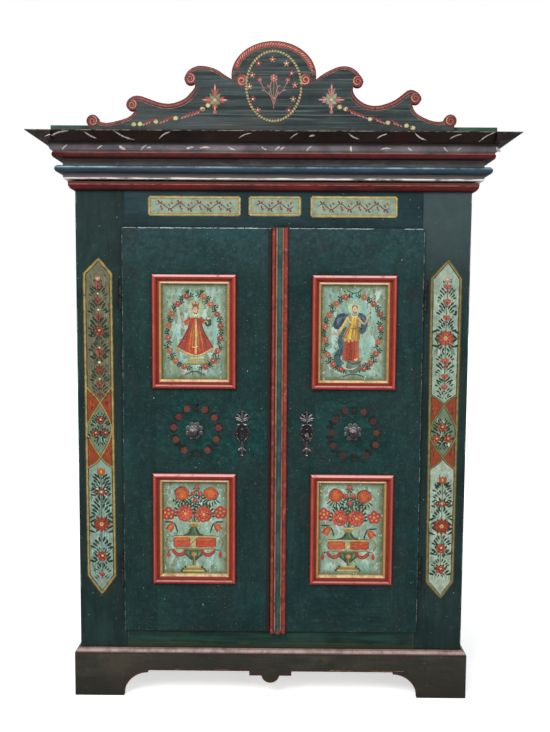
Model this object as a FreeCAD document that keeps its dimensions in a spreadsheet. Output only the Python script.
import FreeCAD, Part
import math
import os
import Sketcher

# Painted two-door cupboard in softwood, with a plinth on bracket feet, a projecting cornice and a
# scrolled pediment.  Millimetres.  +X is to the right, +Y to the back and +Z up.  The origin lies on
# the floor, below the middle of the whole piece's width and depth.

SIZES = {
    # carcass
    "body_width": 1190,
    "body_depth": 470,
    "body_height": 1489,
    "carcass_sink": 55,
    "side_board": 24,
    "frame_board": 26,
    "stile_width": 146,
    "sill_show": 63,
    "head_rail_height": 192,
    "back_board": 18,
    "plank_gap": 1.5,
    "floor_drop": 22,
    "floor_board": 22,
    "ceiling_drop": 80,
    "ceiling_board": 22,
    "housing_depth": 8,
    "shelf_board": 20,
    "shelf_setback": 40,
    "lower_shelf_rise": 328,
    "middle_shelf_rise": 320,
    "upper_shelf_rise": 340,
    "cleat": 24,
    "tenon_length": 50,
    "tenon_shoulder": 15,
    "body_tenon": 9,
    # plinth
    "plinth_height": 151,
    "plinth_board": 16,
    "plinth_chamfer_drop": 13,
    "plinth_chamfer_run": 12,
    "plinth_back_board": 91,
    "foot_width": 153,
    "rear_foot_width": 120,
    "foot_cove": 75,
    "soffit_step": 7,
    "drop_half_width": 66,
    "drop_depth": 14,
    "lobe_half_width": 28,
    "lobe_depth": 23.2,
    "corner_block": 56,
    # cornice, from the bed moulding up
    "bed_drop": 77,
    "bed_height": 25,
    "bed_reach": 17,
    "bed_foot": 5,
    "bed_fillet": 5,
    "bed_hollow": 19.2,
    "shadow_gap": 6,
    "fascia_board": 28,
    "lower_fascia": 15,
    "roll_radius": 11,
    "roll_reach": 48,
    "upper_fascia": 21,
    "frieze_bead": 16,
    "frieze_bead_reach": 54,
    "frieze_quirk": 3,
    "frieze_cove": 4,
    "frieze_round": 18,
    "frieze_lip": 4,
    "frieze_reach": 61,
    "crown_board": 24,
    "crown_projection": 113,
    "crown_bevel": 36,
    "crown_lip": 2,
    "crown_inside": 30,
    "crown_end_grain": 40,
    "top_plank_gap": 1,
    # pediment
    "pediment_board": 16,
    "pediment_reach": 70,
    "arch_half_width": 122,
    "arch_rise": 97,
    "arch_top": 260,
    "notch_drop": 10,
    "volute_radius": 17,
    "foot_volute_radius": 18,
    "rail_height": 24,
    "rail_depth": 26,
    "rail_overhang": 55,
    "brace_out": 150,
    "brace_width": 40,
    "brace_height": 96,
    # doors
    "leaf_setback": 4,
    "door_lip": 8,
    "lip_overlap": 6,
    "seat_gap": 0.5,
    "door_gap": 2,
    "meeting_gap": 2,
    "meeting_offset": 3,
    "left_meeting_stile": 118,
    "right_meeting_stile": 134,
    "picture_width": 254,
    "picture_height": 345,
    "bottom_rail_share": 0.2676,
    "lock_rail_share": 0.487,
    "door_tenon_share": 0.5,
    "picture_moulding": 27,
    "picture_seat": 12,
    "picture_proud": 12,
    "picture_round": 7,
    "picture_bead": 4,
    "picture_hollow": 14,
    "groove_inset": 11,
    "groove_width": 8,
    "groove_depth": 8,
    "panel_play": 0.5,
    "panel_field": 5,
    "panel_margin": 12,
    "astragal_width": 47.5,
    "astragal_bead": 12,
    "astragal_fillet": 4,
    "astragal_shoulder": 8,
    "astragal_round": 6,
    "astragal_overhang": 4,
    # hinges
    "lower_hinge_rise": 138,
    "upper_hinge_drop": 238,
    "knuckle_length": 47,
    "knuckle_gap": 0.5,
    "knuckle_radius": 5,
    "knuckle_clearance": 0.5,
    "hinge_side_gap": 1,
    "pin_radius": 2.5,
    "pin_clearance": 0.05,
    "pin_length": 38,
    "pin_end_play": 1,
    "blade": 2,
    "blade_length": 20,
    # knobs and escutcheons
    "knob_above_middle": 1.5,
    "knob_plate": 3,
    "petal_reach": 30,
    "petal_shoulder": 25,
    "petal_foot": 14,
    "petal_half_width": 8,
    "petal_foot_half_width": 4,
    "knob_boss_radius": 17,
    "knob_boss_height": 3,
    "knob_neck_radius": 8,
    "knob_neck_length": 20,
    "knob_radius": 15,
    "knob_head": 23,
    "knob_edge": 4,
    "left_plate_inset": 87,
    "right_plate_inset": 109,
    "plate_below_middle": 7,
    "plate_sheet": 2.5,
    "keyhole_radius": 4.5,
    "keyhole_slot": 5,
    "keyhole_drop": 15,
    # lock and key
    "case_margin": 2,
    "case_tail": 43,
    "case_height": 80,
    "case_depth": 20,
    "case_sheet": 2,
    "lock_bolt_inset": 1,
    "lock_bolt_tail": 30,
    "lock_bolt_rise": 7,
    "lock_bolt_height": 18,
    "lock_bolt_thickness": 6,
    "lock_bolt_standoff": 2.5,
    "slide_clearance": 0.4,
    "talon_start": 5,
    "talon_length": 17,
    "talon_depth": 8,
    "strike_sheet": 2,
    "strike_width": 34,
    "strike_height": 40,
    "key_radius": 3.25,
    "key_front": 34,
    "key_bow_radius": 14,
    "key_bow_bar": 4,
    "key_collar": 2.5,
    "key_collar_front": 9,
    "key_collar_width": 3,
    "key_tip": 2,
    "key_bit_reach": 13,
    "key_bit": 2.6,
    "bit_play": 1,
    # slide bolts of the left door
    "bolt_inset": 30,
    "bolt_width": 12,
    "bolt_thickness": 6,
    "bolt_length": 140,
    "bolt_tip_gap": 4,
    "bolt_plate_width": 36,
    "bolt_plate_length": 130,
    "bolt_plate_setback": 14,
    "staple_wall": 3,
    "staple_length": 14,
    "bolt_button_radius": 5,
    "bolt_button_height": 9,
}

BACK_PLANKS = 5
TOP_PLANKS = 3
PETALS = 8
KEY_REST_ANGLE = -45.0
OVER = 1.0  # how far a cutting tool runs past the wood

# Pediment outline, measured outwards from the middle and up from the crown board, for a body and an
# arch of these sizes.  A scroll has the centre of its volute and the points that the sawn edge
# passes on its way there.
DRAWN_BODY_WIDTH = 1190
DRAWN_ARCH_TOP = 260
LEFT_SCROLLS = (
    {
        "volute": (240.5, 154),
        "passing": ((137, 162), (166, 180), (195, 188.5), (224, 188), (243, 178)),
    },
    {
        "volute": (408.5, 80),
        "passing": ((227, 133), (236, 118), (251, 102), (275, 89), (303, 83),
                    (339, 89), (370, 100), (397, 105), (415, 98)),
    },
    {
        "volute": (523, 33),
        "passing": ((402, 61), (411, 50), (430, 40), (458, 32), (485, 28)),
    },
)
RIGHT_SCROLLS = (
    {
        "volute": (241, 149),
        "passing": ((137, 165), (164, 180), (200, 190.5), (228, 184), (247, 167)),
    },
    {
        "volute": (408.5, 102),
        "passing": ((228, 124), (246, 96), (270, 83), (297, 80), (325, 86),
                    (350, 97), (373, 114), (391, 125), (411, 120)),
    },
    {
        "volute": (510, 38.5),
        "passing": ((401, 77), (408, 64), (420, 54), (440, 44), (466, 36.5)),
    },
)

# Right half of an escutcheon's outline about the keyhole, from its foot up: a ball, a stem, a round
# shield and a palmette.
ESCUTCHEON = (
    (0, -72),
    (5, -67, 5.2, 1),
    (3, -62),
    (15, -58),
    (14, -52),
    (6, -44),
    (8, -28),
    (13, -19),
    (24, 2, 25, 1),
    (15, 21, 26, 1),
    (18, 28),
    (9, 31),
    (7, 37),
    (20, 41),
    (23, 54, 10, 1),
    (13, 62),
    (0, 70, 14, 1),
)

document = FreeCAD.newDocument("painted_cupboard")
sheet = document.addObject("Spreadsheet::Sheet", "sizes")


class Size:
    """A length that knows its number and the formula that binds it to the sheet."""

    def __init__(self, number, formula):
        self.number = number
        self.formula = formula

    def combined(self, other, sign, number):
        return Size(number, f"({self.formula} {sign} {other.formula})")

    def __add__(self, other):
        other = as_size(other)
        return self.combined(other, "+", self.number + other.number)

    def __sub__(self, other):
        other = as_size(other)
        return self.combined(other, "-", self.number - other.number)

    def __mul__(self, other):
        other = as_size(other)
        return self.combined(other, "*", self.number * other.number)

    def __truediv__(self, other):
        other = as_size(other)
        return self.combined(other, "/", self.number / other.number)

    def __radd__(self, other):
        return as_size(other) + self

    def __rsub__(self, other):
        return as_size(other) - self

    def __rmul__(self, other):
        return as_size(other) * self

    def __neg__(self):
        return as_size(0) - self


def as_size(value):
    if isinstance(value, Size):
        return value
    number = float(value)
    return Size(number, f"({number:.6f})" if number < 0 else f"{number:.6f}")


class Dimensions:
    """The cells of the sheet, one attribute for each alias."""

    def __init__(self, sizes):
        for row, (name, value) in enumerate(sizes.items(), 1):
            sheet.set(f"A{row}", name)
            sheet.set(f"B{row}", str(value))
            sheet.setAlias(f"B{row}", name)
            setattr(self, name, Size(float(value), f"sizes.{name}"))


d = Dimensions(SIZES)
document.recompute()
nodes = {}


# ---------------------------------------------------------------- helpers
def bind(item, prop, size):
    item.setExpression(prop, as_size(size).formula)


def place(item, position, axis=(0, 0, 1), angle=0.0):
    """Turn an object about an axis, then put it at a position bound to the sheet."""
    item.Placement = FreeCAD.Placement(FreeCAD.Vector(), FreeCAD.Rotation(FreeCAD.Vector(*axis), angle))
    for letter, value in zip("xyz", position):
        bind(item, f"Placement.Base.{letter}", value)


def keep(label, item):
    """Name a finished sub-part, which is exported under that name."""
    item.Label = label
    nodes[label] = item
    return item


def box(name, low, extent):
    item = document.addObject("Part::Box", name)
    for prop, value in zip(("Length", "Width", "Height"), extent):
        bind(item, prop, value)
    place(item, low)
    return item


def fused(name, items):
    if len(items) == 1:
        return items[0]
    union = document.addObject("Part::MultiFuse", name)
    union.Shapes = items
    return union


def timber(name, blank, cuts=(), tenons=()):
    """A squared timber: a box, with tenons added and boxes cut away."""
    solid = box(f"{name}_blank", *blank)
    if tenons:
        parts = [box(f"{name}_tenon", *tenon) for tenon in tenons]
        solid = fused(f"{name}_tenoned", [solid] + parts)
    if cuts:
        tools = [box(f"{name}_tool", *tool) for tool in cuts]
        trimmed = document.addObject("Part::Cut", name)
        trimmed.Base = solid
        trimmed.Tool = fused(f"{name}_tools", tools)
        solid = trimmed
    return solid


def group(label, items):
    """Several like solids that share one node."""
    compound = document.addObject("Part::Compound", label)
    compound.Links = items
    return keep(label, compound)


def new_body(name):
    return document.addObject("PartDesign::Body", name)


def sketch_on(body, role, offset=None):
    sketch = body.newObject("Sketcher::SketchObject", f"{body.Name}_sketch")
    plane = next(item for item in body.Origin.OriginFeatures if item.Role == role)
    sketch.AttachmentSupport = [(plane, "")]
    sketch.MapMode = "FlatFace"
    if offset is not None:
        bind(sketch, "AttachmentOffset.Base.z", offset)
    return sketch


def arc_between(start, end, radius, turn):
    """The short arc from start to end; turn is +1 to the left and -1 to the right."""
    across, along = end[0] - start[0], end[1] - start[1]
    chord = math.hypot(across, along)
    height = math.sqrt(max(radius ** 2 - chord ** 2 / 4, 0.0))
    centre_x = (start[0] + end[0]) / 2 - turn * height * along / chord
    centre_y = (start[1] + end[1]) / 2 + turn * height * across / chord
    angles = [math.atan2(p[1] - centre_y, p[0] - centre_x) for p in (start, end)]
    first, last = angles if turn > 0 else reversed(angles)
    if last < first:
        last += 2 * math.pi
    circle = Part.Circle(FreeCAD.Vector(centre_x, centre_y, 0), FreeCAD.Vector(0, 0, 1), radius)
    return Part.ArcOfCircle(circle, first, last)


def arc_radius(half_chord, rise):
    """Radius of an arc that rises this far over half of its chord."""
    number = (half_chord.number ** 2 + rise.number ** 2) / (2 * rise.number)
    return Size(number, f"(({half_chord.formula}^2 + {rise.formula}^2) / (2 * {rise.formula}))")


def draw(sketch, corners):
    """A closed outline.  A corner is (u, v), or (u, v, radius, turn) where an arc arrives at it."""
    corners = [tuple(as_size(value) for value in corner) for corner in corners]
    first = sketch.GeometryCount
    arrives, leaves = [], []
    for index, corner in enumerate(corners):
        start = [value.number for value in corners[index - 1][:2]]
        end = [value.number for value in corner[:2]]
        if len(corner) == 2:
            line = Part.LineSegment(FreeCAD.Vector(*start, 0), FreeCAD.Vector(*end, 0))
            sketch.addGeometry(line)
            turn = 1
        else:
            turn = corner[3].number
            sketch.addGeometry(arc_between(start, end, corner[2].number, turn))
        leaves.append(1 if turn > 0 else 2)
        arrives.append(2 if turn > 0 else 1)
    for index, corner in enumerate(corners):
        edge = first + index
        following = first + (index + 1) % len(corners)
        joint = (edge, arrives[index], following, leaves[(index + 1) % len(corners)])
        sketch.addConstraint(Sketcher.Constraint("Coincident", *joint))
        for kind, letter, value in zip(("DistanceX", "DistanceY"), "uv", corner):
            constraint = Sketcher.Constraint(kind, edge, arrives[index], value.number)
            name = f"{letter}{edge}"
            sketch.renameConstraint(sketch.addConstraint(constraint), name)
            bind(sketch, f"Constraints.{name}", value)
        if len(corner) == 4:
            constraint = Sketcher.Constraint("Radius", edge, corner[2].number)
            name = f"radius{edge}"
            sketch.renameConstraint(sketch.addConstraint(constraint), name)
            bind(sketch, f"Constraints.{name}", corner[2])


def draw_circle(sketch, u, v, radius):
    u, v, radius = as_size(u), as_size(v), as_size(radius)
    centre = FreeCAD.Vector(u.number, v.number, 0)
    circle = sketch.addGeometry(Part.Circle(centre, FreeCAD.Vector(0, 0, 1), radius.number))
    placed = (("DistanceX", "u", u), ("DistanceY", "v", v))
    for kind, letter, value in placed:
        name = f"{letter}{circle}"
        constraint = Sketcher.Constraint(kind, circle, 3, value.number)
        sketch.renameConstraint(sketch.addConstraint(constraint), name)
        bind(sketch, f"Constraints.{name}", value)
    name = f"radius{circle}"
    constraint = Sketcher.Constraint("Radius", circle, radius.number)
    sketch.renameConstraint(sketch.addConstraint(constraint), name)
    bind(sketch, f"Constraints.{name}", radius)


def rectangle(low_u, low_v, high_u, high_v):
    return [(low_u, low_v), (high_u, low_v), (high_u, high_v), (low_u, high_v)]


def pad(body, sketch, length, reverse=False):
    feature = body.newObject("PartDesign::Pad", f"{body.Name}_pad")
    feature.Profile = sketch
    bind(feature, "Length", length)
    feature.Reversed = reverse
    return feature


def pocket_through(body, sketch):
    """Cut a sketch right through the solid, on both sides of its plane."""
    feature = body.newObject("PartDesign::Pocket", f"{body.Name}_pocket")
    feature.Profile = sketch
    feature.SideType = "Two sides"
    feature.Type = "ThroughAll"
    feature.Type2 = "ThroughAll"
    return feature


def revolve(body, sketch):
    feature = body.newObject("PartDesign::Revolution", f"{body.Name}_turning")
    feature.Profile = sketch
    feature.ReferenceAxis = (sketch, ["V_Axis"])
    feature.Angle = 360.0
    return feature


def moulding(name, profile, length, reach, mitred=(True, True), inward=False):
    """One length of moulding along local +X, cut at 45 degrees at its mitred ends.

    A profile corner is (out, up): out is measured from the wall towards local -Y, or, for an inward
    moulding, from the frame's outer edge towards local +Z, with up towards local -Y."""
    body = new_body(name)
    before = reach if mitred[0] and not inward else 0
    after = reach if mitred[1] and not inward else 0
    sketch = sketch_on(body, "YZ_Plane", -as_size(before))
    turned = []
    for corner in profile:
        out, up = as_size(corner[0]), as_size(corner[1])
        u, v = (-up, out) if inward else (-out, up)
        turn = (corner[3] if inward else -corner[3]) if len(corner) == 4 else None
        turned.append((u, v) if turn is None else (u, v, corner[2], turn))
    draw(sketch, turned)
    pad(body, sketch, as_size(before) + length + after)
    plane, side = ("XZ_Plane", 1) if inward else ("XY_Plane", -1)
    spread = reach + OVER
    for end, along in ((0, 1), (1, -1)):
        if not mitred[end]:
            continue
        start = as_size(length) * end
        if inward:
            corners = [(start, 0), (start + along * spread, side * spread), (start, side * spread)]
        else:
            tip = start - along * spread
            corners = [(start, 0), (tip, side * spread), (tip, 0)]
        cut = sketch_on(body, plane)
        draw(cut, corners)
        pocket_through(body, cut)
    return body


# ---------------------------------------------------------------- shared places
half = d.body_width / 2
front = (d.crown_projection - d.body_depth) / 2
back = front + d.body_depth
frame_back = front + d.frame_board
opening_half = half - d.stile_width
inside_half = half - d.side_board
board_back = back - d.back_board

carcass_foot = d.plinth_height - d.carcass_sink
carcass_top = d.plinth_height + d.body_height
sill_top = d.plinth_height + d.sill_show
head_under = carcass_top - d.head_rail_height
floor_top = sill_top - d.floor_drop
ceiling_under = carcass_top - d.ceiling_drop

bed_low = carcass_top - d.bed_drop
fascia_low = bed_low + d.bed_height + d.shadow_gap
roll_low = fascia_low + d.lower_fascia
frieze_low = roll_low + d.roll_radius * 2 + d.upper_fascia
frieze_height = d.frieze_bead + d.frieze_cove + d.frieze_round + d.frieze_lip
crown_low = frieze_low + frieze_height
crown_high = crown_low + d.crown_board

door_board = d.door_lip + d.frame_board - d.leaf_setback
door_front = front - d.door_lip
lip_back = front - d.seat_gap
door_back = door_front + door_board
lip_half = opening_half + d.lip_overlap
leaf_half = opening_half - d.door_gap
leaf_low = sill_top + d.door_gap
leaf_high = head_under - d.door_gap
lip_low = sill_top - d.lip_overlap
lip_high = head_under + d.lip_overlap

left_meeting = d.meeting_offset + d.meeting_gap / 2
right_meeting = -d.meeting_offset + d.meeting_gap / 2
picture_opening = d.picture_width / 2 - d.picture_seat
left_centre = left_meeting + d.left_meeting_stile + picture_opening
right_centre = right_meeting + d.right_meeting_stile + picture_opening
rails_show = leaf_high - leaf_low - d.picture_height * 2
lock_rail_show = rails_show * d.lock_rail_share
lower_picture = leaf_low + rails_show * d.bottom_rail_share
lower_picture_high = lower_picture + d.picture_height
upper_picture = lower_picture_high + lock_rail_show
lock_rail_middle = lower_picture_high + lock_rail_show / 2
openings = [
    (low + d.picture_seat, low + d.picture_height - d.picture_seat)
    for low in (lower_picture, upper_picture)
]
groove_front = door_front + d.groove_inset
groove_back = groove_front + d.groove_width

hinge_x = lip_half + d.hinge_side_gap + d.knuckle_radius
hinge_y = front - d.knuckle_clearance - d.knuckle_radius
hinge_bases = (sill_top + d.lower_hinge_rise, head_under - d.upper_hinge_drop)
knob_height = lock_rail_middle + d.knob_above_middle
plate_height = lock_rail_middle - d.plate_below_middle
left_plate_out = left_meeting + d.left_plate_inset
right_plate_out = right_meeting + d.right_plate_inset


# ---------------------------------------------------------------- plinth
def plinth_profile():
    top = d.plinth_height
    return [
        (0, 0),
        (d.plinth_board, 0),
        (d.plinth_board, top - d.plinth_chamfer_drop),
        (d.plinth_board - d.plinth_chamfer_run, top),
        (0, top),
    ]


def arch(body, low, high, centre_drop):
    """Cut the space between two bracket feet, with a cove beside each foot."""
    cove = d.foot_cove
    soffit = cove + d.soffit_step
    outline = [
        (low, -OVER),
        (high, -OVER),
        (high, 0),
        (high - cove, cove, cove, 1),
        (high - cove, soffit),
        (low + cove, soffit),
        (low + cove, cove),
        (low, 0, cove, 1),
    ]
    if centre_drop:
        middle = (low + high) / 2
        step = soffit - d.drop_depth
        lobe = arc_radius(d.lobe_half_width, d.lobe_depth)
        outline[5:5] = [
            (middle + d.drop_half_width, soffit),
            (middle + d.drop_half_width, step),
            (middle + d.lobe_half_width, step),
            (middle, step - d.lobe_depth, lobe, -1),
            (middle - d.lobe_half_width, step, lobe, -1),
            (middle - d.drop_half_width, step),
            (middle - d.drop_half_width, soffit),
        ]
    sketch = sketch_on(body, "XZ_Plane")
    draw(sketch, outline)
    pocket_through(body, sketch)


def make_plinth():
    foot = d.foot_width - d.plinth_board
    board = moulding("plinth_front", plinth_profile(), d.body_width, d.plinth_board)
    arch(board, foot, d.body_width - foot, True)
    place(board, (-half, front, 0))
    keep("plinth_front", board)
    for name, side in (("left", -1), ("right", 1)):
        mitred = (side > 0, side < 0)
        board = moulding(f"plinth_side_{name}", plinth_profile(), d.body_depth, d.plinth_board, mitred)
        if side < 0:
            arch(board, d.rear_foot_width, d.body_depth - foot, False)
            place(board, (-half, back, 0), angle=-90.0)
        else:
            arch(board, foot, d.body_depth - d.rear_foot_width, False)
            place(board, (half, front, 0), angle=90.0)
        keep(f"plinth_side_{name}", board)
    low = (-half, board_back, d.plinth_height - d.plinth_back_board)
    extent = (d.body_width, d.back_board, d.plinth_back_board)
    keep("plinth_back", timber("plinth_back", (low, extent)))
    blocks = []
    for x in (-half, half - d.corner_block):
        for y in (front, board_back - d.corner_block):
            size = (d.corner_block, d.corner_block, carcass_foot)
            blocks.append(box("plinth_corner_block", (x, y, 0), size))
    group("plinth_corner_blocks", blocks)


# ---------------------------------------------------------------- carcass
def make_sides():
    height = carcass_top - carcass_foot
    depth = board_back - frame_back
    for name, side in (("left", -1), ("right", 1)):
        outer = half if side > 0 else -half
        low_x = outer - d.side_board if side > 0 else outer
        housing_x = low_x if side > 0 else outer + d.side_board - d.housing_depth
        floor_low = floor_top - d.floor_board
        housings = []
        for low_z, thickness in ((floor_low, d.floor_board), (ceiling_under, d.ceiling_board)):
            housings.append(((housing_x, frame_back, low_z), (d.housing_depth, depth, thickness)))
        blank = ((low_x, frame_back, carcass_foot), (d.side_board, depth, height))
        keep(f"side_{name}", timber(f"side_{name}", blank, housings))


def make_floor_and_ceiling():
    length = (inside_half + d.housing_depth) * 2
    low_x = -inside_half - d.housing_depth
    depth = board_back - frame_back
    floor_low = floor_top - d.floor_board
    keep("floor_board", box("floor_board", (low_x, frame_back, floor_low), (length, depth, d.floor_board)))
    ceiling_low = (low_x, frame_back, ceiling_under)
    keep("ceiling_board", box("ceiling_board", ceiling_low, (length, depth, d.ceiling_board)))


def make_shelves():
    depth = board_back - frame_back - d.shelf_setback
    low_y = frame_back + d.shelf_setback
    cleats = []
    height = floor_top
    for name, rise in (
        ("lower", d.lower_shelf_rise),
        ("middle", d.middle_shelf_rise),
        ("upper", d.upper_shelf_rise),
    ):
        height = height + rise
        low = (-inside_half, low_y, height)
        extent = (inside_half * 2, depth, d.shelf_board)
        keep(f"shelf_{name}", box(f"shelf_{name}", low, extent))
        for x in (-inside_half, inside_half - d.cleat):
            cleats.append(box("shelf_cleat", (x, low_y, height - d.cleat), (d.cleat, depth, d.cleat)))
    group("shelf_cleats", cleats)


def rail_tenons(low_x, high_x, low_y, low_z, high_z):
    """A tenon on each end of a rail of the body."""
    height = high_z - low_z - d.tenon_shoulder * 2
    extent = (d.tenon_length, d.body_tenon, height)
    y = low_y + (d.frame_board - d.body_tenon) / 2
    z = low_z + d.tenon_shoulder
    return [((low_x - d.tenon_length, y, z), extent), ((high_x, y, z), extent)]


def make_front_frame():
    rails = (
        ("head_rail", head_under, carcass_top),
        ("sill_rail", carcass_foot, sill_top),
    )
    mortises = []
    for label, low_z, high_z in rails:
        low = (-opening_half, front, low_z)
        extent = (opening_half * 2, d.frame_board, high_z - low_z)
        tenons = rail_tenons(-opening_half, opening_half, front, low_z, high_z)
        mortises.append(tenons)
        keep(label, timber(label, (low, extent), tenons=tenons))
    for name, side in (("left", -1), ("right", 1)):
        low_x = -half if side < 0 else opening_half
        cuts = [pair[0] if side < 0 else pair[1] for pair in mortises]
        slot_x = hinge_x * side - d.blade / 2
        for base in hinge_bases:
            cuts.append(((slot_x, front, base), (d.blade, d.blade_length, d.knuckle_length)))
        low = (low_x, front, carcass_foot)
        extent = (d.stile_width, d.frame_board, carcass_top - carcass_foot)
        keep(f"corner_stile_{name}", timber(f"corner_stile_{name}", (low, extent), cuts))


def make_back_boards():
    pitch = (d.body_width + d.plank_gap) / BACK_PLANKS
    width = pitch - d.plank_gap
    height = carcass_top - d.plinth_height
    planks = []
    for index in range(BACK_PLANKS):
        low = (-half + pitch * index, board_back, d.plinth_height)
        planks.append(box("back_plank", low, (width, d.back_board, height)))
    group("back_boards", planks)


# ---------------------------------------------------------------- cornice
def three_sides(label, profile, reach):
    """A moulding along the front and both sides, in three mitred lengths."""
    front_length = moulding(f"{label}_front", profile, d.body_width, reach)
    place(front_length, (-half, front, 0))
    left_length = moulding(f"{label}_left", profile, d.body_depth, reach, (False, True))
    place(left_length, (-half, back, 0), angle=-90.0)
    right_length = moulding(f"{label}_right", profile, d.body_depth, reach, (True, False))
    place(right_length, (half, front, 0), angle=90.0)
    return [front_length, left_length, right_length]


def make_bed_moulding():
    high = bed_low + d.bed_height
    profile = [
        (0, bed_low),
        (d.bed_foot, bed_low),
        (d.bed_reach, high - d.bed_fillet, d.bed_hollow, 1),
        (d.bed_reach, high),
        (0, high),
    ]
    group("bed_moulding", three_sides("bed_moulding", profile, d.bed_reach))


def make_fascia():
    """Three mitred boards, with a plain rail between them at the back."""
    profile = rectangle(0, fascia_low, d.fascia_board, crown_low)
    lengths = three_sides("cornice_fascia", profile, d.fascia_board)
    rail_low = (-half, back - d.fascia_board, carcass_top)
    rail_size = (d.body_width, d.fascia_board, crown_low - carcass_top)
    lengths.append(box("cornice_back_rail", rail_low, rail_size))
    group("cornice_fascia", lengths)


def make_roll():
    straight = d.roll_reach - d.roll_radius
    high = roll_low + d.roll_radius * 2
    profile = [
        (d.fascia_board, roll_low),
        (straight, roll_low),
        (d.roll_reach, roll_low + d.roll_radius, d.roll_radius, 1),
        (straight, high, d.roll_radius, 1),
        (d.fascia_board, high),
    ]
    group("roll_moulding", three_sides("roll_moulding", profile, d.roll_reach))


def make_frieze():
    """A bead below a cyma that swells out under the crown."""
    bead_back = d.frieze_bead_reach - d.frieze_quirk
    bead_half = d.frieze_bead / 2
    bead_arc = arc_radius(bead_half, d.frieze_quirk) + d.frieze_quirk
    bead_high = frieze_low + d.frieze_bead
    cove_reach = (bead_back + d.frieze_reach) / 2
    cyma_run = d.frieze_reach - cove_reach
    profile = [
        (d.fascia_board, frieze_low),
        (bead_back, frieze_low),
        (d.frieze_bead_reach, frieze_low + bead_half, bead_arc, 1),
        (bead_back, bead_high, bead_arc, 1),
        (cove_reach, bead_high + d.frieze_cove, d.frieze_cove + cyma_run, -1),
        (d.frieze_reach, crown_low - d.frieze_lip, d.frieze_round + cyma_run, 1),
        (d.frieze_reach, crown_low),
        (d.fascia_board, crown_low),
    ]
    group("frieze_moulding", three_sides("frieze_moulding", profile, d.frieze_reach))


def crown_profile(inner):
    return [
        (inner, crown_low),
        (d.crown_projection - d.crown_bevel, crown_low),
        (d.crown_projection, crown_high - d.crown_lip),
        (d.crown_projection, crown_high),
        (inner, crown_high),
    ]


def make_crown():
    """A bevelled plank between two side planks, whose sawn ends show on the front."""
    end = half + d.crown_end_grain
    plank = moulding("crown_front", crown_profile(-d.crown_inside), end * 2, 0, (False, False))
    place(plank, (-end, front, 0))
    run = d.body_depth + d.crown_projection
    lengths = [plank]
    for name, side in (("left", -1), ("right", 1)):
        length = moulding(f"crown_{name}", crown_profile(d.crown_end_grain), run, 0, (False, False))
        start = back if side < 0 else front - d.crown_projection
        place(length, (half * side, start, 0), angle=90.0 * side)
        lengths.append(length)
    group("crown_moulding", lengths)

    first = front + d.crown_inside
    pitch = (back - first + d.top_plank_gap) / TOP_PLANKS
    planks = []
    for index in range(TOP_PLANKS):
        low = (-end, first + pitch * index, crown_low)
        planks.append(box("top_plank", low, (end * 2, pitch - d.top_plank_gap, d.crown_board)))
    group("cornice_top_boards", planks)


# ---------------------------------------------------------------- pediment
def scroll_outline(scrolls, side, start):
    """The edges of one side: from the notch beside the arch, over three scrolls, to the foot."""

    spread = d.body_width.number / DRAWN_BODY_WIDTH
    lift = d.arch_top.number / DRAWN_ARCH_TOP

    def at(out, up):
        return FreeCAD.Vector(side * out, up, 0)

    def fitted(spot):
        return (spot[0] * spread, spot[1] * lift)

    edges = []
    for index, scroll in enumerate(scrolls):
        out, up = fitted(scroll["volute"])
        passing = [fitted(spot) for spot in scroll["passing"]]
        last = index == len(scrolls) - 1
        radius = d.foot_volute_radius.number if last else d.volute_radius.number
        head = (out - radius, up) if last else (out + radius, up)
        turning = (out, up + radius) if last else (out, up - radius)
        angle = math.radians(-50 if last else -130)
        foot = (out + radius * math.cos(angle), up + radius * math.sin(angle))
        run = Part.BSplineCurve()
        run.interpolate([at(*spot) for spot in (start, *passing, head)])
        edges.append(run)
        edges.append(Part.Arc(at(*head), at(*turning), at(*foot)))
        start = foot
    edges.append(Part.LineSegment(at(*start), at(start[0], 0)))
    return edges, side * start[0]


def make_pediment():
    """A sawn board: a flattened arch between three scrolls on each side, on a rail with braces."""
    wide, rise = d.arch_half_width.number, d.arch_rise.number
    centre = d.arch_top.number - rise
    tilt = math.asin(d.notch_drop.number / rise)
    notch = (wide * math.cos(tilt), centre - d.notch_drop.number)
    ellipse = Part.Ellipse(FreeCAD.Vector(0, centre, 0), wide, rise)
    left, left_foot = scroll_outline(LEFT_SCROLLS, -1, notch)
    right, right_foot = scroll_outline(RIGHT_SCROLLS, 1, notch)
    base = Part.LineSegment(FreeCAD.Vector(left_foot, 0, 0), FreeCAD.Vector(right_foot, 0, 0))
    body = new_body("pediment")
    sketch = sketch_on(body, "XZ_Plane")
    for edge in (*left, *right, Part.ArcOfEllipse(ellipse, -tilt, math.pi + tilt), base):
        sketch.addGeometry(edge)
    pad(body, sketch, d.pediment_board)
    board_rear = front - d.pediment_reach + d.pediment_board
    place(body, (0, board_rear, crown_high))
    keep("pediment", body)

    rail_half = half + d.rail_overhang
    rail_low = (-rail_half, board_rear, crown_high)
    pieces = [box("pediment_rail", rail_low, (rail_half * 2, d.rail_depth, d.rail_height))]
    for side in (-1, 1):
        low_x = d.brace_out * side - d.brace_width / 2
        low = (low_x, board_rear, crown_high + d.rail_height)
        pieces.append(box("pediment_brace", low, (d.brace_width, d.rail_depth, d.brace_height)))
    group("pediment_rail", pieces)


# ---------------------------------------------------------------- doors
def across(side, inner, outer):
    """The low X and the length of a stretch that is given outwards from the middle."""
    inner, outer = as_size(inner), as_size(outer)
    return (inner if side > 0 else -outer), outer - inner


def door_block(side, inner, outer, low_y, high_y, low_z, high_z):
    low_x, length = across(side, inner, outer)
    return (low_x, low_y, low_z), (length, high_y - low_y, high_z - low_z)


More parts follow.
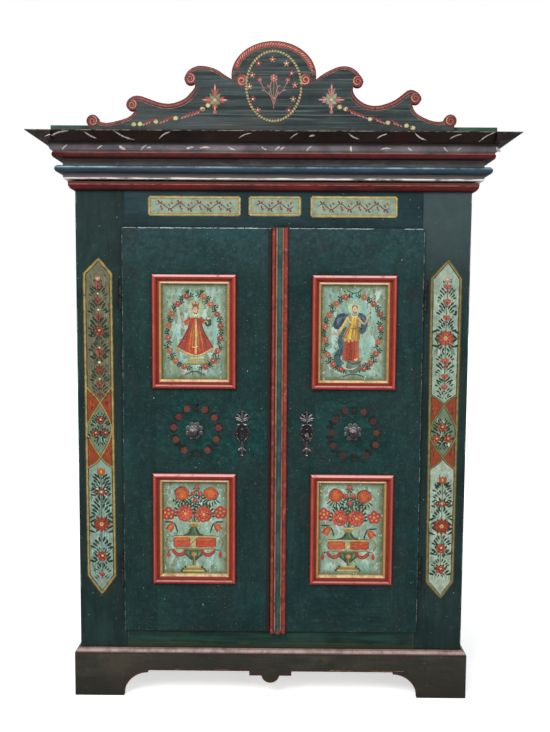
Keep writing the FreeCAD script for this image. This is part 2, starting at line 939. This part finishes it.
def rebates(side, inner, outer):
    """Cuts that leave the thin lip over the frame, above and below a door's leaf."""
    low, high = as_size(inner) - OVER, as_size(outer) + OVER
    above = door_block(side, low, high, lip_back, door_back + OVER, leaf_high, lip_high + OVER)
    below = door_block(side, low, high, lip_back, door_back + OVER, lip_low - OVER, leaf_low)
    return above, below


def make_rails(name, side, meeting, inner, outer):
    """Three rails, each with a tenon at both ends.  Returns the tenons of each end as mortises."""
    meeting_tenon = (inner - meeting) * d.door_tenon_share
    hinge_tenon = (leaf_half - outer) * d.door_tenon_share
    rails = (
        ("bottom_rail", lip_low, leaf_low, openings[0][0]),
        ("lock_rail", openings[0][1], openings[0][1], openings[1][0]),
        ("top_rail", openings[1][1], openings[1][1], lip_high),
    )
    above, below = rebates(side, inner, outer)
    meeting_mortises, hinge_mortises = [], []
    for label, low_z, tenon_low, high_z in rails:
        tenon_high = leaf_high if label == "top_rail" else high_z
        depth = (groove_front, groove_back, tenon_low + d.tenon_shoulder, tenon_high - d.tenon_shoulder)
        tenons = (
            door_block(side, inner - meeting_tenon, inner, *depth),
            door_block(side, outer, outer + hinge_tenon, *depth),
        )
        meeting_mortises.append(tenons[0])
        hinge_mortises.append(tenons[1])
        cuts = []
        groove = (side, inner, outer, groove_front, groove_back)
        if label != "top_rail":
            cuts.append(door_block(*groove, high_z - d.groove_depth, high_z))
        if label != "bottom_rail":
            cuts.append(door_block(*groove, low_z, low_z + d.groove_depth))
        if label == "top_rail":
            cuts.append(above)
        if label == "bottom_rail":
            cuts.append(below)
        blank = door_block(side, inner, outer, door_front, door_back, low_z, high_z)
        node = f"{name}_door_{label}"
        rail = timber(node, blank, cuts, tenons)
        if side > 0 and label == "lock_rail":
            rail = with_keyhole(node, rail)
        keep(node, rail)
    return meeting_mortises, hinge_mortises


def make_stiles(name, side, meeting, inner, outer, meeting_mortises, hinge_mortises):
    def grooves(low, high):
        ys, depth = (groove_front, groove_back), d.groove_depth
        return [door_block(side, low, high, *ys, under - depth, over + depth) for under, over in openings]

    node = f"{name}_door_meeting_stile"
    cuts = [*meeting_mortises, *grooves(inner - d.groove_depth, inner), *rebates(side, meeting, inner)]
    blank = door_block(side, meeting, inner, door_front, door_back, lip_low, lip_high)
    stile = timber(node, blank, cuts)
    keep(node, with_keyhole(node, stile) if side > 0 else stile)

    node = f"{name}_door_hinge_stile"
    cuts = [*hinge_mortises, *grooves(outer, outer + d.groove_depth), *rebates(side, outer, lip_half)]
    edge_zs = (lip_low - OVER, lip_high + OVER)
    cuts.append(door_block(side, leaf_half, lip_half + OVER, lip_back, door_back + OVER, *edge_zs))
    blade_ys = (hinge_y - d.blade / 2, hinge_y + d.blade / 2)
    for base in hinge_bases:
        low_z = base + d.knuckle_length + d.knuckle_gap
        slot_zs = (low_z, low_z + d.knuckle_length)
        cuts.append(door_block(side, lip_half - d.blade_length, lip_half, *blade_ys, *slot_zs))
    blank = door_block(side, outer, lip_half, door_front, door_back, lip_low, lip_high)
    keep(node, timber(node, blank, cuts))


def make_door_frame(name, side, meeting, centre):
    inner, outer = centre - picture_opening, centre + picture_opening
    mortises = make_rails(name, side, meeting, inner, outer)
    make_stiles(name, side, meeting, inner, outer, *mortises)


def with_keyhole(name, wood):
    """Bore the wood behind the right escutcheon for the key's shank and slot it for the bit."""
    key_x = right_plate_out
    bore = document.addObject("Part::Cylinder", f"{name}_bore")
    bind(bore, "Radius", d.keyhole_radius)
    bind(bore, "Height", door_board)
    place(bore, (key_x, door_front, plate_height), (1, 0, 0), -90.0)
    slot_low = (key_x - d.keyhole_slot / 2, door_front, plate_height - d.keyhole_drop)
    slot = box(f"{name}_slot", slot_low, (d.keyhole_slot, door_board, d.keyhole_drop))
    bored = document.addObject("Part::Cut", f"{name}_bored")
    bored.Base = wood
    bored.Tool = fused(f"{name}_keyhole", [bore, slot])
    return bored


def make_panels(name, side, centre):
    """Fielded panels whose tongues sit in the grooves of the frame."""
    tongue = d.groove_depth - d.panel_play
    thickness = d.groove_width - d.panel_play
    for level, (low, high) in zip(("lower", "upper"), openings):
        node = f"{name}_door_{level}_panel"
        body = new_body(node)
        half_height = (high - low) / 2
        for margin, depth in ((-tongue, thickness), (d.panel_margin, thickness + d.panel_field)):
            sketch = sketch_on(body, "XZ_Plane")
            wide, tall = picture_opening - margin, half_height - margin
            draw(sketch, rectangle(-wide, -tall, wide, tall))
            pad(body, sketch, depth, reverse=True)
        place(body, (centre * side, groove_front, (low + high) / 2))
        keep(node, body)


def picture_profile():
    """Section of the picture moulding: seated on the frame, lapping down on to the panel."""
    crest, bead, round_ = d.picture_proud, d.picture_bead, d.picture_round
    sunk = -d.groove_inset
    bead_start = d.picture_moulding - bead
    return [
        (0, 0),
        (d.picture_seat, 0),
        (d.picture_seat, sunk),
        (d.picture_moulding, sunk),
        (d.picture_moulding, -bead),
        (bead_start, 0, bead, 1),
        (d.picture_seat, crest, d.picture_hollow, -1),
        (round_, crest),
        (0, crest - round_, round_, 1),
    ]


def make_picture_mouldings(name, side, centre):
    low_x, high_x = centre * side - d.picture_width / 2, centre * side + d.picture_width / 2
    for level, low_z in (("lower", lower_picture), ("upper", upper_picture)):
        node = f"{name}_door_{level}_moulding"
        high_z = low_z + d.picture_height
        lengths = []
        corners = (
            ((low_x, low_z), 0.0, d.picture_width),
            ((high_x, low_z), -90.0, d.picture_height),
            ((high_x, high_z), 180.0, d.picture_width),
            ((low_x, high_z), 90.0, d.picture_height),
        )
        for (x, z), angle, length in corners:
            piece = moulding(f"{node}_length", picture_profile(), length, d.picture_moulding, inward=True)
            place(piece, (x, door_front, z), (0, 1, 0), angle)
            lengths.append(piece)
        group(node, lengths)


def make_astragal():
    """The moulded strip beside the meeting edge: two beads with a flat half-round between them."""
    width, bead, fillet, shoulder = d.astragal_width, d.astragal_bead, d.astragal_fillet, d.astragal_shoulder
    round_low, round_high = bead + fillet, width - bead - fillet
    round_arc = arc_radius(width / 2 - round_low, d.astragal_round)
    body = new_body("astragal")
    sketch = sketch_on(body, "XY_Plane")
    draw(sketch, [
        (0, 0),
        (0, -fillet),
        (bead / 2, -fillet - bead / 2, bead / 2, 1),
        (bead, -fillet, bead / 2, 1),
        (round_low, -fillet),
        (round_low, -shoulder),
        (width / 2, -shoulder - d.astragal_round, round_arc, 1),
        (round_high, -shoulder, round_arc, 1),
        (round_high, -fillet),
        (width - bead, -fillet),
        (width - bead / 2, -fillet - bead / 2, bead / 2, 1),
        (width, -fillet, bead / 2, 1),
        (width, 0),
    ])
    low_z = lip_low - d.astragal_overhang
    pad(body, sketch, lip_high - low_z)
    place(body, (right_meeting, door_front, low_z))
    keep("astragal", body)


# ---------------------------------------------------------------- hinges
def make_pintle(name, side, base):
    radius, length, pin = d.knuckle_radius, d.knuckle_length, d.pin_radius
    tip = length + d.pin_length
    body = new_body(f"{name}_pintle")
    turning = sketch_on(body, "XZ_Plane")
    draw(turning, [
        (0, 0),
        (radius, 0),
        (radius, length),
        (pin, length),
        (pin, tip),
        (0, tip),
    ])
    revolve(body, turning)
    blade = sketch_on(body, "XY_Plane")
    draw(blade, rectangle(-d.blade / 2, 0, d.blade / 2, radius + d.knuckle_clearance + d.blade_length))
    pad(body, blade, length)
    place(body, (hinge_x * side, hinge_y, base))
    return body


def make_socket(name, side, base):
    radius, length = d.knuckle_radius, d.knuckle_length
    bore = d.pin_radius + d.pin_clearance
    depth = d.pin_length + d.pin_end_play
    body = new_body(f"{name}_socket")
    turning = sketch_on(body, "XZ_Plane")
    draw(turning, [
        (bore, 0),
        (radius, 0),
        (radius, length),
        (0, length),
        (0, depth),
        (bore, depth),
    ])
    revolve(body, turning)
    blade = sketch_on(body, "XY_Plane")
    near = (bore + radius) / 2
    far = radius + d.hinge_side_gap + d.blade_length
    low, high = (-far, -near) if side > 0 else (near, far)
    draw(blade, rectangle(low, -d.blade / 2, high, d.blade / 2))
    pad(body, blade, length)
    place(body, (hinge_x * side, hinge_y, base + length + d.knuckle_gap))
    return body


def make_hinges(name, side):
    """Lift-off hinges: the lower knuckle with its pin on the frame, the upper one on the door."""
    group(f"{name}_hinge_pintles", [make_pintle(name, side, base) for base in hinge_bases])
    group(f"{name}_door_hinge_sockets", [make_socket(name, side, base) for base in hinge_bases])


# ---------------------------------------------------------------- knobs and escutcheons
def make_knob(name, x):
    """A turned iron knob on a rosette of pointed petals."""
    node = f"{name}_door_knob"
    body = new_body(node)
    petal = sketch_on(body, "XZ_Plane")
    foot, shoulder = d.petal_foot, d.petal_shoulder
    draw(petal, [
        (0, 0),
        (d.petal_foot_half_width, foot),
        (d.petal_half_width, shoulder),
        (0, d.petal_reach),
        (-d.petal_half_width, shoulder),
        (-d.petal_foot_half_width, foot),
    ])
    first = pad(body, petal, d.knob_plate)
    pattern = body.newObject("PartDesign::PolarPattern", f"{node}_petals")
    pattern.Originals = [first]
    pattern.Axis = (petal, ["N_Axis"])
    pattern.Angle = 360.0
    pattern.Occurrences = PETALS
    body.Tip = pattern
    boss_top = d.knob_plate + d.knob_boss_height
    head_foot = d.knob_plate + d.knob_neck_length
    reach = head_foot + d.knob_head
    turning = sketch_on(body, "XY_Plane")
    draw(turning, [
        (0, 0),
        (d.knob_boss_radius, 0),
        (d.knob_boss_radius, -boss_top),
        (d.knob_neck_radius, -boss_top),
        (d.knob_neck_radius, -head_foot),
        (d.knob_radius, -head_foot),
        (d.knob_radius, -reach + d.knob_edge),
        (d.knob_radius - d.knob_edge, -reach),
        (0, -reach),
    ])
    revolve(body, turning)
    place(body, (x, door_front, knob_height))
    keep(node, body)


def mirrored(right_half):
    """A closed outline from its right half, listed upwards from the bottom of the middle line."""
    outline = list(right_half)
    outline[0] = right_half[0][:2] + right_half[1][2:]
    for index in range(len(right_half) - 1, 1, -1):
        x, up = right_half[index - 1][:2]
        outline.append((-x, up) + tuple(right_half[index][2:]))
    return outline


def make_escutcheon(name, x):
    node = f"{name}_door_escutcheon"
    body = new_body(node)
    outline = sketch_on(body, "XZ_Plane")
    draw(outline, mirrored(ESCUTCHEON))
    pad(body, outline, d.plate_sheet)
    hole = sketch_on(body, "XZ_Plane")
    draw_circle(hole, 0, 0, d.keyhole_radius)
    pocket_through(body, hole)
    slot = sketch_on(body, "XZ_Plane")
    draw(slot, rectangle(-d.keyhole_slot / 2, -d.keyhole_drop, d.keyhole_slot / 2, 0))
    pocket_through(body, slot)
    place(body, (x, door_front, plate_height))
    keep(node, body)


# ---------------------------------------------------------------- lock
bolt_low = (
    right_meeting + d.lock_bolt_inset,
    door_back + d.lock_bolt_standoff,
    plate_height + d.lock_bolt_rise,
)


def make_lock():
    """A rim lock on the right door: a bolt with a talon that the key's bit enters, in a case."""
    x, y, z = bolt_low
    key_x = right_plate_out
    size = (key_x + d.lock_bolt_tail - x, d.lock_bolt_thickness, d.lock_bolt_height)
    talon = ((key_x + d.talon_start, y, z), (d.talon_length, d.lock_bolt_thickness, d.talon_depth))
    keep("lock_bolt", timber("lock_bolt", (bolt_low, size), [talon]))

    wall, play = d.case_sheet, d.slide_clearance
    case_x = right_meeting + d.case_margin
    case_z = z + d.lock_bolt_height / 2 - d.case_height / 2
    length = key_x + d.case_tail - case_x
    blank = ((case_x, door_back, case_z), (length, d.case_depth, d.case_height))
    cavity_size = (length - wall * 2, d.case_depth - wall, d.case_height - wall * 2)
    cavity = ((case_x + wall, door_back, case_z + wall), cavity_size)
    slot_size = (wall, d.lock_bolt_thickness + play * 2, d.lock_bolt_height + play * 2)
    slot = ((case_x, y - play, z - play), slot_size)
    keep("lock_case", timber("lock_case", blank, [cavity, slot]))

    strike_z = z + d.lock_bolt_height / 2 - d.strike_height / 2
    strike_size = (d.strike_width, d.strike_sheet, d.strike_height)
    strike_low = (-left_meeting - d.strike_width, door_back, strike_z)
    keep("left_door_strike_plate", box("strike_plate", strike_low, strike_size))


def make_key():
    """A key with a round shank, a collar and a ring bow, turned to the angle at which it hangs."""
    shank, bow, bar = d.key_radius, d.key_bow_radius, d.key_bow_bar
    collar_back = -d.key_collar_front + d.key_collar_width
    bit_low = door_board + d.lock_bolt_standoff - d.bit_play
    bit_high = bit_low + d.lock_bolt_thickness + d.bit_play * 2
    tip = bit_high + d.key_tip
    body = new_body("lock_key")
    turning = sketch_on(body, "XY_Plane")
    draw(turning, [
        (0, -d.key_front + bow - bar / 2),
        (shank, -d.key_front + bow - bar / 2),
        (shank, -d.key_collar_front),
        (shank + d.key_collar, -d.key_collar_front),
        (shank + d.key_collar, collar_back),
        (shank, collar_back),
        (shank, tip),
        (0, tip),
    ])
    revolve(body, turning)
    ring = sketch_on(body, "YZ_Plane", -bar / 2)
    draw_circle(ring, -d.key_front, 0, bow)
    draw_circle(ring, -d.key_front, 0, bow - bar)
    pad(body, ring, bar)
    bit = sketch_on(body, "YZ_Plane", -d.key_bit / 2)
    draw(bit, rectangle(bit_low, -d.key_bit_reach, bit_high, -shank / 2))
    pad(body, bit, d.key_bit)
    place(body, (right_plate_out, door_front, plate_height), (0, 1, 0), KEY_REST_ANGLE)
    keep("lock_key", body)


# ---------------------------------------------------------------- slide bolts
def make_slide_bolts():
    """Bolts at the top and bottom of the left door, which shoot behind the head and sill rails."""
    bolt_front = frame_back + d.seat_gap
    bolt_out = left_meeting + d.bolt_inset
    plate_sheet = bolt_front - door_back
    low_x = -bolt_out - d.bolt_width / 2
    plate_x = -bolt_out - d.bolt_plate_width / 2
    play, wall = d.slide_clearance, d.staple_wall
    guides = []
    for name, up in (("top", 1), ("bottom", -1)):
        tip = leaf_high - d.bolt_tip_gap if up > 0 else leaf_low + d.bolt_tip_gap
        low_z = tip - d.bolt_length if up > 0 else tip
        bar_size = (d.bolt_width, d.bolt_thickness, d.bolt_length)
        bar = box(f"{name}_bolt_bar", (low_x, bolt_front, low_z), bar_size)
        button = document.addObject("Part::Cylinder", f"{name}_bolt_button")
        bind(button, "Radius", d.bolt_button_radius)
        bind(button, "Height", d.bolt_button_height)
        middle_y = bolt_front + d.bolt_thickness / 2
        place(button, (-bolt_out, middle_y, low_z + d.bolt_length / 2), (1, 0, 0), -90.0)
        keep(f"left_{name}_bolt", fused(f"{name}_bolt", [bar, button]))

        plate_far = leaf_high - d.bolt_plate_setback if up > 0 else leaf_low + d.bolt_plate_setback
        plate_low = plate_far - d.bolt_plate_length if up > 0 else plate_far
        extent = (d.bolt_plate_width, plate_sheet, d.bolt_plate_length)
        parts = [box(f"{name}_bolt_plate", (plate_x, door_back, plate_low), extent)]
        channels = []
        staple_half = d.bolt_width / 2 + play + wall
        for start in (plate_low + wall, plate_low + d.bolt_plate_length - wall - d.staple_length):
            staple_low = (-bolt_out - staple_half, bolt_front, start)
            staple_size = (staple_half * 2, d.bolt_thickness + play + wall, d.staple_length)
            parts.append(box(f"{name}_bolt_staple", staple_low, staple_size))
            channel_low = (low_x - play, bolt_front, start)
            channel_size = (d.bolt_width + play * 2, d.bolt_thickness + play, d.staple_length)
            channels.append(box(f"{name}_bolt_channel", channel_low, channel_size))
        guide = document.addObject("Part::Cut", f"{name}_bolt_guide")
        guide.Base = fused(f"{name}_bolt_iron", parts)
        guide.Tool = fused(f"{name}_bolt_channels", channels)
        guides.append(guide)
    group("left_door_bolt_guides", guides)


# ---------------------------------------------------------------- build and export
make_plinth()
make_sides()
make_floor_and_ceiling()
make_shelves()
make_front_frame()
make_back_boards()
make_bed_moulding()
make_fascia()
make_roll()
make_frieze()
make_crown()
make_pediment()

for name, side, meeting, centre, plate_out in (
    ("left", -1, left_meeting, left_centre, left_plate_out),
    ("right", 1, right_meeting, right_centre, right_plate_out),
):
    make_door_frame(name, side, meeting, centre)
    make_panels(name, side, centre)
    make_picture_mouldings(name, side, centre)
    make_hinges(name, side)
    make_knob(name, centre * side)
    make_escutcheon(name, plate_out * side)
make_astragal()
make_lock()
make_key()
make_slide_bolts()

document.recompute()
for item in document.Objects:
    if "Invalid" in item.State or "Error" in item.State:
        raise RuntimeError(f"{item.Label} did not compute: {item.State}")
for label, item in nodes.items():
    if item.Shape.isNull() or not item.Shape.isValid():
        raise RuntimeError(f"{label} has no valid shape")

os.makedirs("parts", exist_ok=True)
for label, item in nodes.items():
    item.Shape.exportStep(f"parts/{label}.step")
    print(f"{label}: {len(item.Shape.Solids)} solids, {item.Shape.Volume / 1000:.1f} cm3")
